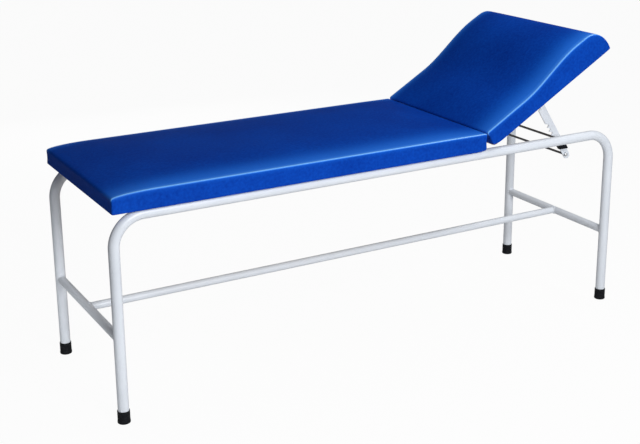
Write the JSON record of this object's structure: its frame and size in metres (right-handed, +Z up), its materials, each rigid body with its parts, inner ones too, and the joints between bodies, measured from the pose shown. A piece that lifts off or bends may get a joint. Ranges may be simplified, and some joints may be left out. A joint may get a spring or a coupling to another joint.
{
  "type": "examination table",
  "caption": "Padded medical examination table on a white tubular steel frame with rubber feet; its head section tilts on hinges and is held by a toothed stay.",
  "frame": {"origin": "middle of the table at floor level", "axes": "+X towards the head end, +Y towards the patient's right-hand side (the far side in the picture), +Z up"},
  "size_m": [1.9056, 0.614, 1.0164],
  "materials": {
    "white_paint": "satin powder coat",
    "blue_vinyl": "semi-gloss vinyl cloth",
    "black_rubber": "semi-gloss moulded rubber",
    "dark_steel": "dark oiled bar",
    "zinc_steel": "zinc plated",
    "plywood": "bare plywood",
    "foam": "open-cell foam"
  },
  "bodies": {
    "frame": {"left_side_frame": "white_paint", "right_side_frame": "white_paint", "foot_end_crossbar": "white_paint", "head_end_crossbar": "white_paint", "centre_stretcher": "white_paint", "bed_tube_foot": "white_paint", "bed_tube_middle": "white_paint", "bed_tube_hinge": "white_paint", "support_rod": "dark_steel", "rubber_foot_foot_left": "black_rubber", "rubber_foot_foot_right": "black_rubber", "rubber_foot_head_left": "black_rubber", "rubber_foot_head_right": "black_rubber", "bed_board": "plywood", "bed_foam": "foam", "bed_cover": "blue_vinyl", "bed_bolt_foot_left": "zinc_steel", "bed_bolt_foot_right": "zinc_steel", "bed_bolt_middle_left": "zinc_steel", "bed_bolt_middle_right": "zinc_steel", "left_bed_hinge_leaf": "zinc_steel", "right_bed_hinge_leaf": "zinc_steel", "left_bed_hinge_screw_1": "zinc_steel", "left_bed_hinge_screw_2": "zinc_steel", "right_bed_hinge_screw_1": "zinc_steel", "right_bed_hinge_screw_2": "zinc_steel", "left_hinge_pin": "zinc_steel", "right_hinge_pin": "zinc_steel"},
    "head_section": {"head_board": "plywood", "head_foam": "foam", "head_cover": "blue_vinyl", "left_head_hinge_leaf": "zinc_steel", "right_head_hinge_leaf": "zinc_steel", "left_head_hinge_screw_1": "zinc_steel", "left_head_hinge_screw_2": "zinc_steel", "right_head_hinge_screw_1": "zinc_steel", "right_head_hinge_screw_2": "zinc_steel", "left_rack_bracket": "zinc_steel", "right_rack_bracket": "zinc_steel", "left_rack_bracket_screw_1": "zinc_steel", "left_rack_bracket_screw_2": "zinc_steel", "right_rack_bracket_screw_1": "zinc_steel", "right_rack_bracket_screw_2": "zinc_steel", "left_rack_pivot_bolt": "zinc_steel", "right_rack_pivot_bolt": "zinc_steel", "left_rack_pivot_nut": "zinc_steel", "right_rack_pivot_nut": "zinc_steel"},
    "rack": {"left_rack_bar": "white_paint", "right_rack_bar": "white_paint", "left_rack_sleeve": "black_rubber", "right_rack_sleeve": "black_rubber", "spreader_rod": "dark_steel", "left_spreader_nut": "zinc_steel", "right_spreader_nut": "zinc_steel"}
  },
  "joints": [
    {"name": "head_tilt", "type": "hinge", "parent": "frame", "child": "head_section", "pos_m": [0.379, 0, 0.65015], "axis": [0, -1, 0], "range_deg": [-30, 0]},
    {"name": "rack_swing", "type": "hinge", "parent": "head_section", "child": "rack", "pos_m": [0.648, 0, 0.79622], "axis": [0, -1, 0], "range_deg": [0, 85.15]}
  ],
  "couplings": [
    {"joint": "rack_swing", "follows": "head_tilt", "ratio": -2.8368}
  ]
}
